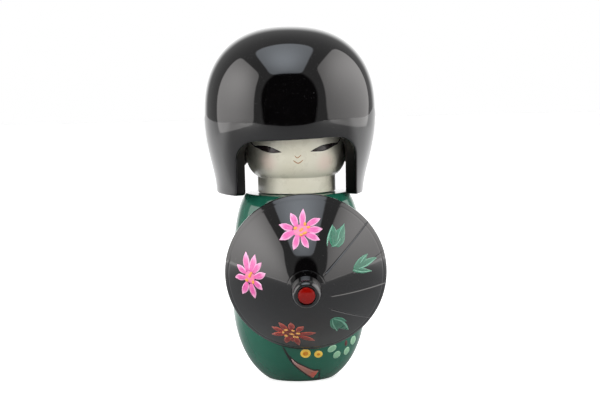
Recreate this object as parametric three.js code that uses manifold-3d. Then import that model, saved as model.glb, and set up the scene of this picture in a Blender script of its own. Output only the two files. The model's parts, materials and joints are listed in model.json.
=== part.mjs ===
// Lacquered kokeshi doll with a parasol. Millimetres, +Z up, the doll faces -Y.
// The origin is the centre of the flat base. Each turned wooden piece is a solid of its own.
import * as THREE from 'three';
import { mergeVertices } from 'three/addons/utils/BufferGeometryUtils.js';
import Module from 'manifold-3d';

const wasm = await Module();
wasm.setup();

// ---- driving dimensions -----------------------------------------------------------------------
const SEGMENTS = 48; // facets round the large turned pieces, a multiple of four
const SMALL_SEGMENTS = 24; // and round the small ones
const GAP = 0.3; // clearance between pieces that touch or turn on each other
const OVERCUT = 1; // how far a cutter runs past the face that it opens
const MERGE_DISTANCE = 1e-4;

const BASE_RADIUS = 11.2; // flat face that the doll stands on
const BELLY_RADIUS = 22.8;
const BELLY_Z = 27.5; // height of the body's widest ring
const SHOULDER_RADIUS = 18.6;
const SHOULDER_Z = 61.5;
const BODY_TOP_Z = 63.6;
const SHOULDER_ROUND = 1.9; // how far the rounded shoulder runs in before the flat top
// Handles of the side curve: radius and height away from the base, the belly and the shoulder.
const BASE_HANDLE = { out: 8.1, up: 5.1 };
const BELLY_HANDLE = { down: 11, up: 17 };
const SHOULDER_HANDLE = { out: 2.3, down: 4.5 };

const NECK_RADIUS = 13.2;
const NECK_TOP_Z = 69.3;
const HEAD_RADIUS = 17.2;
const HEAD_WIDE_Z = 78; // height of the head's widest ring
const HEAD_TOP_Z = 100.7;
const HEAD_TOP_FLAT = 6;
const JAW_HANDLE = { out: 2, up: 0.8 }; // the neck runs out into the round jaw
const CHEEK_HANDLE = 4; // height above the neck where the jaw curve turns upright
const CROWN_HANDLE = { down: 8, in: 4 };

const HAIR_OFFSET_X = -1.8; // the hair cap sits a little to one side of the head
const HAIR_TILT = THREE.MathUtils.degToRad(1.2); // and leans a little to the other
const HAIR_RADIUS = 29.1;
const HAIR_WIDE_Z = 91; // height of the cap's widest ring
const HAIR_TOP_Z = 120;
const HAIR_DOME_POWER = 2.33; // superellipse exponent of the dome
const HAIR_TAPER = 111; // below the widest ring the radius drops by depth squared over this
const HAIR_FOOT_RADIUS = 24.7; // the side hair hangs straight once it is this narrow
const HAIR_BOTTOM_Z = 63.6;
const HAIR_WALL_TOP = 5.6; // wall thickness at the widest ring
const HAIR_WALL_BOTTOM = 4.2;
const CAVITY_TOP_Z = HEAD_TOP_Z + GAP;
const CAVITY_TOP_FLAT = 8;

// The face opening's edge on the inside and on the outside of the hair. Its sides run straight down
// and its upper corners are quarter ellipses, wider outside, so the sides show as a slanting wall.
const FRINGE_Z = 83.1; // height of the fringe over the face
const FRINGE_TILT = THREE.MathUtils.degToRad(1.7);
const FACE_INSIDE = { left: -16.9, right: 16.3, cornerX: 4, cornerZ: 5.4 };
const FACE_OUTSIDE = { left: -20, right: 20, cornerX: 6.4, cornerZ: 7 };

// The hair is cut shorter at the nape, in an arch between the two side locks.
const NAPE = { halfWidth: 19, top: 73.5, corner: 5 };

const NECK_DOWEL = { radius: 4, low: 48, high: 80 };
const HAIR_DOWEL = { radius: 3, low: 92, high: 109 };

const PARASOL_X = 2.4; // centre of the parasol's rim
const PARASOL_Y = -26.3;
const PARASOL_Z = 39.1;
const PARASOL_DROOP = THREE.MathUtils.degToRad(8.8); // its tip points this far below level
const CANOPY_RADIUS = 26.7;
const CANOPY_HEIGHT = 20; // rim plane to the foot of the ferrule
const CANOPY_BEND = new THREE.Vector2(15.7, 14.3); // where the outer curve's end tangents meet
const CANOPY_WALL = 2.6;
const RIM_BAND = 1.1; // width of the rim's square edge
const RIM_LIP = 1.4; // how far in the underside starts
const FERRULE_RING = { radius: 6.4, width: 0.35, depth: 0.3 }; // turned line round the ferrule
const DOWEL_CHAMFER = 0.5;
const SHAFT_RADIUS = 2.2;
const SHAFT_INTO_BODY = 14; // length of the shaft behind the rim plane
const SHAFT_INTO_FERRULE = 2.6;
const FERRULE = { radius: 4.95, straight: 0.8, endRadius: 3.5, length: 6 }; // narrows to its end
const TIP_BEAD = { radius: 2.75, depth: 1.4, dome: 0.6 };

// Engraved rib lines, each from an inner end out to the rim: across and up from the canopy's axis.
const RIB_LINES = [
  { from: [5.6, 4.4], to: [20.6, 17] },
  { from: [15.5, 3.2], to: [25.6, 6.8] },
  { from: [7.2, -2.8], to: [26.4, -3.8] },
  { from: [6.8, -7.2], to: [21.3, -16.1] },
];
const RIB_WIDTH = 0.4;
const RIB_DEPTH = 0.35;

// How many straight steps each curve is made of.
const BODY_STEPS = { lower: 10, upper: 7, shoulder: 3 };
const HEAD_STEPS = { jaw: 7, crown: 8 };
const HAIR_STEPS = { ceiling: 5, inside: 4, side: 6, dome: 11 };
const FACE_STEPS = { side: 4, corner: 6 };
const NAPE_STEPS = 6;
const CANOPY_STEPS = { inside: 8, outside: 10 };
const RIB_STEPS = 6;
const FERRULE_STEPS = 6;
const BEAD_STEPS = 4;

// ---- materials --------------------------------------------------------------------------------
function finish(color, roughness) {
  return new THREE.MeshStandardMaterial({ color, roughness, metalness: 0 });
}

const greenLacquer = finish(0x1f5340, 0.18);
const blackLacquer = finish(0x0c0b0c, 0.1);
const creamPaint = finish(0xd9d4c4, 0.35);
const redLacquer = finish(0xa01410, 0.15);
const bareWood = finish(0xd2ab78, 0.7);

// ---- geometry helpers -------------------------------------------------------------------------
// A turned solid from a profile of (radius, height) points, with its axis along +Z.
function turned(points, segments = SEGMENTS) {
  const geometry = new THREE.LatheGeometry(points, segments);
  geometry.rotateX(Math.PI / 2);
  return geometry;
}

function point(radius, height) {
  return new THREE.Vector2(radius, height);
}

// A closed triangle mesh as a solid that can be cut.
function solidOf(geometry) {
  const bare = geometry.index ? geometry.toNonIndexed() : geometry.clone();
  bare.deleteAttribute('normal');
  bare.deleteAttribute('uv');
  const merged = mergeVertices(bare, MERGE_DISTANCE);
  return new wasm.Manifold(new wasm.Mesh({
    numProp: 3,
    vertProperties: new Float32Array(merged.attributes.position.array),
    triVerts: new Uint32Array(merged.index.array),
  }));
}

function geometryOf(solid) {
  const mesh = solid.getMesh();
  const geometry = new THREE.BufferGeometry();
  geometry.setAttribute('position', new THREE.BufferAttribute(mesh.vertProperties, 3));
  geometry.setIndex(new THREE.BufferAttribute(mesh.triVerts, 1));
  geometry.computeVertexNormals();
  return geometry;
}

function cutAway(geometry, cutters) {
  let solid = solidOf(geometry);
  for (const cutter of cutters) {
    solid = solid.subtract(solidOf(cutter));
  }
  return geometryOf(solid);
}

// The drill for a round hole, along +Z between two heights.
function drill(radius, low, high) {
  const geometry = new THREE.CylinderGeometry(radius, radius, high - low, SMALL_SEGMENTS);
  geometry.rotateX(Math.PI / 2);
  geometry.translate(0, 0, (low + high) / 2);
  return geometry;
}

// A dowel with chamfered ends, along +Z between two heights.
function dowel(radius, low, high) {
  const end = radius - DOWEL_CHAMFER;
  return turned([
    point(0, low), point(end, low), point(radius, low + DOWEL_CHAMFER),
    point(radius, high - DOWEL_CHAMFER), point(end, high), point(0, high),
  ], SMALL_SEGMENTS);
}

function named(name, geometry, material) {
  const mesh = new THREE.Mesh(geometry, material);
  mesh.name = name;
  return mesh;
}

// ---- body -------------------------------------------------------------------------------------
function bodyProfile() {
  const belly = point(BELLY_RADIUS, BELLY_Z);
  const shoulderStart = point(SHOULDER_RADIUS, SHOULDER_Z);
  const shoulderEnd = point(SHOULDER_RADIUS - SHOULDER_ROUND, BODY_TOP_Z);
  const lower = new THREE.CubicBezierCurve(
    point(BASE_RADIUS, 0), point(BASE_RADIUS + BASE_HANDLE.out, BASE_HANDLE.up),
    point(BELLY_RADIUS, BELLY_Z - BELLY_HANDLE.down), belly,
  );
  const upper = new THREE.CubicBezierCurve(
    belly, point(BELLY_RADIUS, BELLY_Z + BELLY_HANDLE.up),
    point(SHOULDER_RADIUS + SHOULDER_HANDLE.out, SHOULDER_Z - SHOULDER_HANDLE.down), shoulderStart,
  );
  const shoulder = new THREE.QuadraticBezierCurve(
    shoulderStart, point(SHOULDER_RADIUS - SHOULDER_ROUND / 2, BODY_TOP_Z), shoulderEnd,
  );
  return [
    point(0, 0), ...lower.getPoints(BODY_STEPS.lower), ...upper.getPoints(BODY_STEPS.upper).slice(1),
    ...shoulder.getPoints(BODY_STEPS.shoulder).slice(1), point(0, BODY_TOP_Z),
  ];
}

function makeBody() {
  const neckSocket = drill(NECK_DOWEL.radius + GAP, NECK_DOWEL.low - GAP, BODY_TOP_Z + OVERCUT);
  const shaftSocket = drill(SHAFT_RADIUS + GAP, -SHAFT_INTO_BODY - GAP, 0);
  shaftSocket.applyMatrix4(makeParasolFrame().matrix);
  return named('body', cutAway(turned(bodyProfile()), [neckSocket, shaftSocket]), greenLacquer);
}

// ---- head and hair ----------------------------------------------------------------------------
function makeHead() {
  const jaw = new THREE.CubicBezierCurve(
    point(NECK_RADIUS, NECK_TOP_Z), point(NECK_RADIUS + JAW_HANDLE.out, NECK_TOP_Z + JAW_HANDLE.up),
    point(HEAD_RADIUS, NECK_TOP_Z + CHEEK_HANDLE), point(HEAD_RADIUS, HEAD_WIDE_Z),
  );
  const crown = new THREE.CubicBezierCurve(
    point(HEAD_RADIUS, HEAD_WIDE_Z), point(HEAD_RADIUS, HEAD_TOP_Z - CROWN_HANDLE.down),
    point(HEAD_RADIUS - CROWN_HANDLE.in, HEAD_TOP_Z), point(HEAD_TOP_FLAT, HEAD_TOP_Z),
  );
  const profile = [
    point(0, BODY_TOP_Z + GAP), point(NECK_RADIUS, BODY_TOP_Z + GAP),
    ...jaw.getPoints(HEAD_STEPS.jaw), ...crown.getPoints(HEAD_STEPS.crown).slice(1),
    point(0, HEAD_TOP_Z),
  ];
  const neckSocket = drill(NECK_DOWEL.radius + GAP, BODY_TOP_Z - OVERCUT, NECK_DOWEL.high + GAP);
  const hairSocket = drill(HAIR_DOWEL.radius + GAP, HAIR_DOWEL.low - GAP, HEAD_TOP_Z + OVERCUT);
  return named('head', cutAway(turned(profile), [neckSocket, hairSocket]), creamPaint);
}

function hairRadius(z) {
  if (z <= HAIR_WIDE_Z) {
    return Math.max(HAIR_FOOT_RADIUS, HAIR_RADIUS - (HAIR_WIDE_Z - z) ** 2 / HAIR_TAPER);
  }
  const rise = (z - HAIR_WIDE_Z) / (HAIR_TOP_Z - HAIR_WIDE_Z);
  return HAIR_RADIUS * (1 - rise ** HAIR_DOME_POWER) ** (1 / HAIR_DOME_POWER);
}

// The cavity from its flat ceiling down to the bottom edge.
function cavityProfile() {
  const cavityRadius = HAIR_RADIUS - HAIR_WALL_TOP;
  const ceiling = new THREE.QuadraticBezierCurve(
    point(CAVITY_TOP_FLAT, CAVITY_TOP_Z), point(cavityRadius, CAVITY_TOP_Z),
    point(cavityRadius, HAIR_WIDE_Z),
  );
  const profile = [point(0, CAVITY_TOP_Z), ...ceiling.getPoints(HAIR_STEPS.ceiling)];
  for (let i = 1; i <= HAIR_STEPS.inside; i += 1) {
    const z = THREE.MathUtils.lerp(HAIR_WIDE_Z, HAIR_BOTTOM_Z, i / HAIR_STEPS.inside);
    profile.push(point(hairRadius(z) - hairWall(z), z));
  }
  return profile;
}

// The outside from the bottom edge up the sides and over the dome.
function hairOutside() {
  const profile = [];
  for (let i = 0; i <= HAIR_STEPS.side; i += 1) {
    const z = THREE.MathUtils.lerp(HAIR_BOTTOM_Z, HAIR_WIDE_Z, i / HAIR_STEPS.side);
    profile.push(point(hairRadius(z), z));
  }
  const domeHeight = HAIR_TOP_Z - HAIR_WIDE_Z;
  for (let i = 1; i < HAIR_STEPS.dome; i += 1) {
    const angle = (i / HAIR_STEPS.dome) * (Math.PI / 2);
    const rise = Math.sin(angle) ** (2 / HAIR_DOME_POWER);
    const z = HAIR_WIDE_Z + domeHeight * rise;
    profile.push(point(hairRadius(z), z));
  }
  profile.push(point(0, HAIR_TOP_Z));
  return profile;
}

// The axis of the leaning cap at a height.
function hairAxisX(z) {
  return HAIR_OFFSET_X + (z - HAIR_WIDE_Z) * Math.tan(HAIR_TILT);
}

function hairWall(z) {
  const part = (HAIR_WIDE_Z - z) / (HAIR_WIDE_Z - HAIR_BOTTOM_Z);
  return THREE.MathUtils.lerp(HAIR_WALL_TOP, HAIR_WALL_BOTTOM, part);
}

// The outline of the face opening from bottom left, over the fringe, to bottom right.
function faceOutline({ left, right, cornerX, cornerZ }) {
  const low = HAIR_BOTTOM_Z - 2 * OVERCUT;
  const spring = FRINGE_Z - cornerZ;
  const outline = [];
  for (let i = 0; i < FACE_STEPS.side; i += 1) {
    outline.push(point(left, THREE.MathUtils.lerp(low, spring, i / FACE_STEPS.side)));
  }
  for (let i = 0; i <= FACE_STEPS.corner; i += 1) {
    const angle = Math.PI - (i / FACE_STEPS.corner) * (Math.PI / 2);
    const x = left + cornerX * (1 + Math.cos(angle));
    outline.push(point(x, spring + cornerZ * Math.sin(angle)));
  }
  const mirrored = outline.map((p) => point(left + right - p.x, p.y)).reverse();
  return [...outline, ...mirrored].map((p) => {
    const lift = THREE.MathUtils.smoothstep(p.y, low, FRINGE_Z) * Math.tan(FRINGE_TILT);
    return point(p.x, p.y + p.x * lift);
  });
}

// Where an outline point meets an upright surface of a given radius in front of the axis.
function frontPoint({ x, y: z }, radius) {
  const depth = Math.sqrt(radius ** 2 - (x - hairAxisX(z)) ** 2);
  return new THREE.Vector3(x, -depth, z);
}

// The cutter of the face opening. Its walls are straight lines through both edges of the opening.
function faceCutter() {
  const inside = faceOutline(FACE_INSIDE).map((p) => frontPoint(p, hairRadius(p.y) - hairWall(p.y)));
  const outside = faceOutline(FACE_OUTSIDE).map((p) => frontPoint(p, hairRadius(p.y)));
  const nearest = Math.max(...inside.map((p) => p.y)) + OVERCUT;
  const farthest = -HAIR_RADIUS - 2 * OVERCUT;
  const across = (y) => inside.map((p, i) => {
    const along = (y - p.y) / (outside[i].y - p.y);
    return new THREE.Vector3().lerpVectors(p, outside[i], along);
  });
  return loft(across(nearest), across(farthest));
}

// A closed solid between two outlines, the second one further to -Y. Each end is a ladder of flat
// strips from the outline's first half across to its second half.
function loft(back, front) {
  const count = back.length;
  const faces = [];
  const quad = (a, b, c, d) => faces.push(a, b, c, a, c, d);
  for (let i = 0; i < count; i += 1) {
    const next = (i + 1) % count;
    quad(i, count + i, count + next, next);
  }
  for (let i = 0; i < count / 2 - 1; i += 1) {
    const across = count - 1 - i;
    quad(i, i + 1, across - 1, across);
    quad(count + i, count + across, count + across - 1, count + i + 1);
  }
  const geometry = new THREE.BufferGeometry();
  const corners = [...back, ...front].flatMap((p) => p.toArray());
  geometry.setAttribute('position', new THREE.Float32BufferAttribute(corners, 3));
  geometry.setIndex(faces);
  return geometry;
}

// The cutter of the nape: an arch with rounded upper corners behind the head.
function napeCutter() {
  const { halfWidth, top, corner } = NAPE;
  const spring = top - corner;
  const arch = new THREE.Shape();
  arch.moveTo(-halfWidth, HAIR_BOTTOM_Z - 2 * OVERCUT);
  arch.lineTo(halfWidth, HAIR_BOTTOM_Z - 2 * OVERCUT);
  arch.lineTo(halfWidth, spring);
  arch.absarc(halfWidth - corner, spring, corner, 0, Math.PI / 2, false);
  arch.absarc(corner - halfWidth, spring, corner, Math.PI / 2, Math.PI, false);
  const depth = HAIR_RADIUS + OVERCUT;
  const options = { depth, bevelEnabled: false, curveSegments: NAPE_STEPS };
  const geometry = new THREE.ExtrudeGeometry(arch, options);
  geometry.rotateX(Math.PI / 2);
  geometry.rotateZ(Math.PI);
  return geometry;
}

function makeHairCap() {
  const cap = turned([...cavityProfile(), ...hairOutside()]);
  cap.translate(0, 0, -HAIR_WIDE_Z);
  cap.rotateY(HAIR_TILT);
  cap.translate(HAIR_OFFSET_X, 0, HAIR_WIDE_Z);
  const dowelSocket = drill(HAIR_DOWEL.radius + GAP, CAVITY_TOP_Z - OVERCUT, HAIR_DOWEL.high + GAP);
  return named('hair_cap', cutAway(cap, [faceCutter(), napeCutter(), dowelSocket]), blackLacquer);
}

// ---- parasol ----------------------------------------------------------------------------------
// The parasol's own frame: the rim plane is its z = 0 and the tip points along its +Z.
function makeParasolFrame() {
  const group = new THREE.Group();
  group.position.set(PARASOL_X, PARASOL_Y, PARASOL_Z);
  group.rotation.x = Math.PI / 2 + PARASOL_DROOP;
  group.updateMatrix();
  return group;
}

const canopyOutside = new THREE.QuadraticBezierCurve(
  point(CANOPY_RADIUS, 0), CANOPY_BEND, point(FERRULE.radius, CANOPY_HEIGHT),
);

// Height of the canopy's outside at a radius, from the curve's own quadratic. It runs on past the rim.
function canopyHeight(radius) {
  const { v0, v1, v2 } = canopyOutside;
  const bend = v0.x - 2 * v1.x + v2.x;
  const slope = 2 * (v1.x - v0.x);
  const reach = v0.x - radius;
  const t = (2 * reach) / (-slope + Math.sqrt(slope ** 2 - 4 * bend * reach));
  return canopyOutside.getPoint(t).y;
}

// A groove along a straight line across the canopy, as deep everywhere below its outside.
function ribCutter({ from, to }) {
  const start = new THREE.Vector2(...from);
  const along = new THREE.Vector2(...to).sub(start);
  const length = along.length() + OVERCUT;
  const ridge = [];
  for (let i = 0; i <= RIB_STEPS; i += 1) {
    const run = (i / RIB_STEPS) * length;
    const place = start.clone().addScaledVector(along.clone().normalize(), run);
    ridge.push(point(run, canopyHeight(place.length())));
  }
  const floor = ridge.map((p) => point(p.x, p.y - RIB_DEPTH));
  const top = ridge.map((p) => point(p.x, p.y + OVERCUT)).reverse();
  const outline = new THREE.Shape([...floor, ...top]);
  const geometry = new THREE.ExtrudeGeometry(outline, { depth: RIB_WIDTH, bevelEnabled: false });
  geometry.rotateX(Math.PI / 2);
  geometry.translate(0, RIB_WIDTH / 2, 0);
  geometry.rotateZ(along.angle());
  geometry.translate(start.x, start.y, 0);
  return geometry;
}

// The turned line round the ferrule.
function ringCutter() {
  const { radius, width, depth } = FERRULE_RING;
  const low = canopyHeight(radius) - depth;
  const high = canopyHeight(radius) + OVERCUT;
  return turned([
    point(radius - width / 2, low), point(radius + width / 2, low),
    point(radius + width / 2, high), point(radius - width / 2, high), point(radius - width / 2, low),
  ]);
}

function makeCanopy() {
  const bore = SHAFT_RADIUS + GAP;
  const underside = new THREE.QuadraticBezierCurve(
    point(bore, CANOPY_HEIGHT - CANOPY_WALL),
    point(CANOPY_BEND.x - CANOPY_WALL / 2, CANOPY_BEND.y - CANOPY_WALL),
    point(CANOPY_RADIUS - RIM_LIP, -RIM_BAND),
  );
  const profile = [
    ...underside.getPoints(CANOPY_STEPS.inside), point(CANOPY_RADIUS, -RIM_BAND),
    ...canopyOutside.getPoints(CANOPY_STEPS.outside),
    point(bore, CANOPY_HEIGHT), point(bore, CANOPY_HEIGHT - CANOPY_WALL),
  ];
  const cutters = [...RIB_LINES.map(ribCutter), ringCutter()];
  return named('parasol_canopy', cutAway(turned(profile), cutters), blackLacquer);
}

function makeFerrule() {
  const foot = CANOPY_HEIGHT + GAP;
  const end = foot + FERRULE.length;
  const bore = SHAFT_RADIUS + GAP;
  const boreEnd = foot + SHAFT_INTO_FERRULE;
  const recess = TIP_BEAD.radius + GAP;
  const recessFloor = end - TIP_BEAD.depth;
  const shoulder = new THREE.EllipseCurve(
    FERRULE.endRadius, foot + FERRULE.straight, FERRULE.radius - FERRULE.endRadius,
    FERRULE.length - FERRULE.straight, 0, Math.PI / 2,
  );
  return named('parasol_ferrule', turned([
    point(0, boreEnd), point(bore, boreEnd), point(bore, foot), point(FERRULE.radius, foot),
    ...shoulder.getPoints(FERRULE_STEPS), point(recess, end), point(recess, recessFloor),
    point(0, recessFloor),
  ], SMALL_SEGMENTS), blackLacquer);
}

function makeTipBead() {
  const end = CANOPY_HEIGHT + GAP + FERRULE.length;
  const foot = end - TIP_BEAD.depth + GAP;
  const dome = new THREE.EllipseCurve(0, end, TIP_BEAD.radius, TIP_BEAD.dome, 0, Math.PI / 2);
  const curve = dome.getPoints(BEAD_STEPS).slice(0, -1);
  return named('parasol_tip', turned([
    point(0, foot), point(TIP_BEAD.radius, foot), ...curve, point(0, end + TIP_BEAD.dome),
  ], SMALL_SEGMENTS), redLacquer);
}

function makeShaft() {
  const end = CANOPY_HEIGHT + SHAFT_INTO_FERRULE;
  return named('parasol_shaft', dowel(SHAFT_RADIUS, -SHAFT_INTO_BODY, end), bareWood);
}

// ---- the doll ---------------------------------------------------------------------------------
const parasol = makeParasolFrame();
parasol.add(makeCanopy(), makeFerrule(), makeTipBead(), makeShaft());

const neckDowel = dowel(NECK_DOWEL.radius, NECK_DOWEL.low, NECK_DOWEL.high);
const hairDowel = dowel(HAIR_DOWEL.radius, HAIR_DOWEL.low, HAIR_DOWEL.high);

const doll = new THREE.Group();
doll.add(
  makeBody(), named('neck_dowel', neckDowel, bareWood), makeHead(), makeHairCap(),
  named('hair_dowel', hairDowel, bareWood), parasol,
);

export default doll;
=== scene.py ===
import json
import math

import bmesh
import bpy
import numpy as np
from mathutils import Matrix, Vector


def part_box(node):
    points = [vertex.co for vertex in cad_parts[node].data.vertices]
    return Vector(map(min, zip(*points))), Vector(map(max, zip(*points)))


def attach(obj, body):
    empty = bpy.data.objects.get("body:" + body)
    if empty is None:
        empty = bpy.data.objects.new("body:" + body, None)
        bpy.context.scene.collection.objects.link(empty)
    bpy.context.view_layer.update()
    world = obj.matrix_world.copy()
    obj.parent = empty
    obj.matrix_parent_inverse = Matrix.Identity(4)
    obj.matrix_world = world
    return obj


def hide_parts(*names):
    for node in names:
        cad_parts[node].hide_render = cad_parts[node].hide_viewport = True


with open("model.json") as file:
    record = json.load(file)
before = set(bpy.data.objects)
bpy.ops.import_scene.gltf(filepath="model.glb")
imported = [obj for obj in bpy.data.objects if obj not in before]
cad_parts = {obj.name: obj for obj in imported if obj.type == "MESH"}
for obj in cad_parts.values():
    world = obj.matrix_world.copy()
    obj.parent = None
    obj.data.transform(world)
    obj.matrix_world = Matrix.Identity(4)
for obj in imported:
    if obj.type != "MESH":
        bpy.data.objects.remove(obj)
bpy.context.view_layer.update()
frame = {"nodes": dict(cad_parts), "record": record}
record = frame["record"]
MM = 0.001


# ---- numbers from the frame ----------------------------------------------------------------------
def box_mm(node):
    low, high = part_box(node)
    return np.array(low) / MM, np.array(high) / MM


def joint(name):
    return next(j for j in record["behaviour"]["joints"] if j["name"] == name)


BODY_LOW, BODY_HIGH = box_mm("body")
HEAD_LOW, HEAD_HIGH = box_mm("head")
BELLY_RADIUS = (BODY_HIGH[0] - BODY_LOW[0]) / 2
BODY_TOP = BODY_HIGH[2]
HEAD_RADIUS = (HEAD_HIGH[0] - HEAD_LOW[0]) / 2
NECK_FOOT = HEAD_LOW[2]

# The parasol's own frame: the centre of the rim, and the direction that its tip points.
PARASOL_CENTRE = np.array(joint("parasol_spin")["pos_m"]) / MM
PARASOL_TIP_DIRECTION = np.array(joint("parasol_spin")["axis"])
PARASOL_ACROSS = np.array([1.0, 0.0, 0.0])
PARASOL_UP = np.cross(PARASOL_TIP_DIRECTION, PARASOL_ACROSS)


# ---- curves and meshes ---------------------------------------------------------------------------
def cubic(p0, p1, p2, p3, count):
    t = np.linspace(0, 1, count)[:, None]
    p0, p1, p2, p3 = (np.array(p, float) for p in (p0, p1, p2, p3))
    return (1 - t) ** 3 * p0 + 3 * (1 - t) ** 2 * t * p1 + 3 * (1 - t) * t**2 * p2 + t**3 * p3


def quadratic(p0, p1, p2, count):
    t = np.linspace(0, 1, count)[:, None]
    p0, p1, p2 = (np.array(p, float) for p in (p0, p1, p2))
    return (1 - t) ** 2 * p0 + 2 * (1 - t) * t * p1 + t**2 * p2


def softened(points, radius, count=5):
    """A profile whose inner corners are rounded; radius is one number or one per point."""
    points = [np.array(p, float) for p in points]
    radii = radius if isinstance(radius, (list, tuple)) else [radius] * len(points)
    out = [points[0]]
    for before, here, after, r in zip(points, points[1:], points[2:], radii[1:]):
        if r <= 0:
            out.append(here)
            continue
        back = before - here
        on = after - here
        r_back = min(r, np.linalg.norm(back) / 2)
        r_on = min(r, np.linalg.norm(on) / 2)
        start = here + back / np.linalg.norm(back) * r_back
        end = here + on / np.linalg.norm(on) * r_on
        out.extend(quadratic(start, here, end, count))
    out.append(points[-1])
    return np.array(out)


def mesh_object(name, verts_mm, faces, material, uvs=None, sharp=35, slots=None):
    mesh = bpy.data.meshes.new(name)
    mesh.from_pydata([tuple(v) for v in np.array(verts_mm) * MM], [], faces)
    if uvs is not None:
        layer = mesh.uv_layers.new(name="UVMap")
        for loop in mesh.loops:
            layer.data[loop.index].uv = uvs[loop.vertex_index]
    if slots is not None:
        mesh.polygons.foreach_set("material_index", slots)
    work = bmesh.new()
    work.from_mesh(mesh)
    bmesh.ops.remove_doubles(work, verts=work.verts, dist=1e-8)
    bmesh.ops.recalc_face_normals(work, faces=work.faces)
    work.to_mesh(mesh)
    work.free()
    mesh.shade_smooth()
    mesh.set_sharp_from_angle(angle=math.radians(sharp))
    mesh.materials.append(material)
    obj = bpy.data.objects.new(name, mesh)
    bpy.context.scene.collection.objects.link(obj)
    return obj


def grid_faces(rows, columns):
    """Quads between neighbouring rows of a grid of points whose columns close into a ring."""
    faces = []
    for a in range(0, (rows - 1) * columns, columns):
        b = a + columns
        for j in range(columns):
            k = (j + 1) % columns
            faces.append((a + j, a + k, b + k, b + j))
    return faces


def parasol_to_world(points):
    """From the parasol's own frame to the row frame, in mm."""
    points = np.asarray(points, float)
    return (
        PARASOL_CENTRE
        + points[..., :1] * PARASOL_ACROSS
        + points[..., 1:2] * PARASOL_UP
        + points[..., 2:3] * PARASOL_TIP_DIRECTION
    )


def swept(profile, angles):
    """The points of a (radius, height) profile turned through each angle, one row per profile point."""
    profile = np.array(profile)
    radius = profile[:, 0][:, None]
    x = radius * np.cos(angles)[None, :]
    y = radius * np.sin(angles)[None, :]
    return x, y, np.repeat(profile[:, 1][:, None], len(angles), axis=1)


def lathe(name, profile, material, segments, place=None, sharp=35):
    """A solid of revolution from a profile of (radius, height) that starts and ends on its axis."""
    inner = profile[1:-1]
    verts = np.stack(swept(inner, np.linspace(0, 2 * math.pi, segments, endpoint=False)), -1).reshape(-1, 3)
    faces = grid_faces(len(inner), segments)
    first = len(verts)
    last_row = first - segments
    verts = np.vstack([verts, [[0, 0, profile[0][1]], [0, 0, profile[-1][1]]]])
    for j in range(segments):
        k = (j + 1) % segments
        faces.append((first, k, j))
        faces.append((first + 1, last_row + j, last_row + k))
    if place is not None:
        verts = place(verts)
    return mesh_object(name, verts, faces, material, sharp=sharp)


def lathe_ring(name, profile, material, angles, place, shape, sharp):
    """A closed ring-shaped solid of revolution: its profile never meets the axis."""
    x, y, z = swept(profile, angles)
    verts = np.stack([x, y, z + shape(x, y, z)], -1).reshape(-1, 3)
    columns = len(angles)
    faces = grid_faces(len(profile), columns)
    last = (len(profile) - 1) * columns
    for j in range(columns):
        k = (j + 1) % columns
        faces.append((last + j, last + k, k, j))
    return mesh_object(name, place(verts), faces, material, sharp=sharp)


# ---- materials -----------------------------------------------------------------------------------
class Nodes:
    """Short ways to add nodes to one node tree."""

    def __init__(self, tree):
        self.tree = tree

    def node(self, kind, **values):
        made = self.tree.nodes.new(kind)
        for key, value in values.items():
            setattr(made, key, value)
        return made

    def link(self, a, b):
        self.tree.links.new(a, b)

    def noise(self, vector, scale, detail, rough, distort=0.0):
        noise = self.node("ShaderNodeTexNoise")
        noise.inputs["Scale"].default_value = scale
        noise.inputs["Detail"].default_value = detail
        noise.inputs["Roughness"].default_value = rough
        noise.inputs["Distortion"].default_value = distort
        self.link(vector, noise.inputs["Vector"])
        return noise.outputs["Fac"]

    def span(self, value, low, high, to_low=0.0, to_high=1.0):
        made = self.node("ShaderNodeMapRange", interpolation_type="SMOOTHSTEP")
        made.inputs["From Min"].default_value = low
        made.inputs["From Max"].default_value = high
        made.inputs["To Min"].default_value = to_low
        made.inputs["To Max"].default_value = to_high
        self.link(value, made.inputs["Value"])
        return made.outputs["Result"]

    def math(self, operation, a, b=None):
        made = self.node("ShaderNodeMath", operation=operation)
        for i, value in enumerate((a, b)):
            if value is None:
                continue
            if isinstance(value, (int, float)):
                made.inputs[i].default_value = value
            else:
                self.link(value, made.inputs[i])
        return made.outputs[0]

    def separate(self, vector):
        made = self.node("ShaderNodeSeparateXYZ")
        self.link(vector, made.inputs[0])
        return made.outputs

    def seen_or_mirrored(self, seen, mirrored):
        """One shader for the camera's own rays and another for all the rest."""
        path = self.node("ShaderNodeLightPath")
        either = self.node("ShaderNodeMixShader")
        self.link(path.outputs["Is Camera Ray"], either.inputs[0])
        self.link(mirrored, either.inputs[1])
        self.link(seen, either.inputs[2])
        return either.outputs[0]


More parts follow.
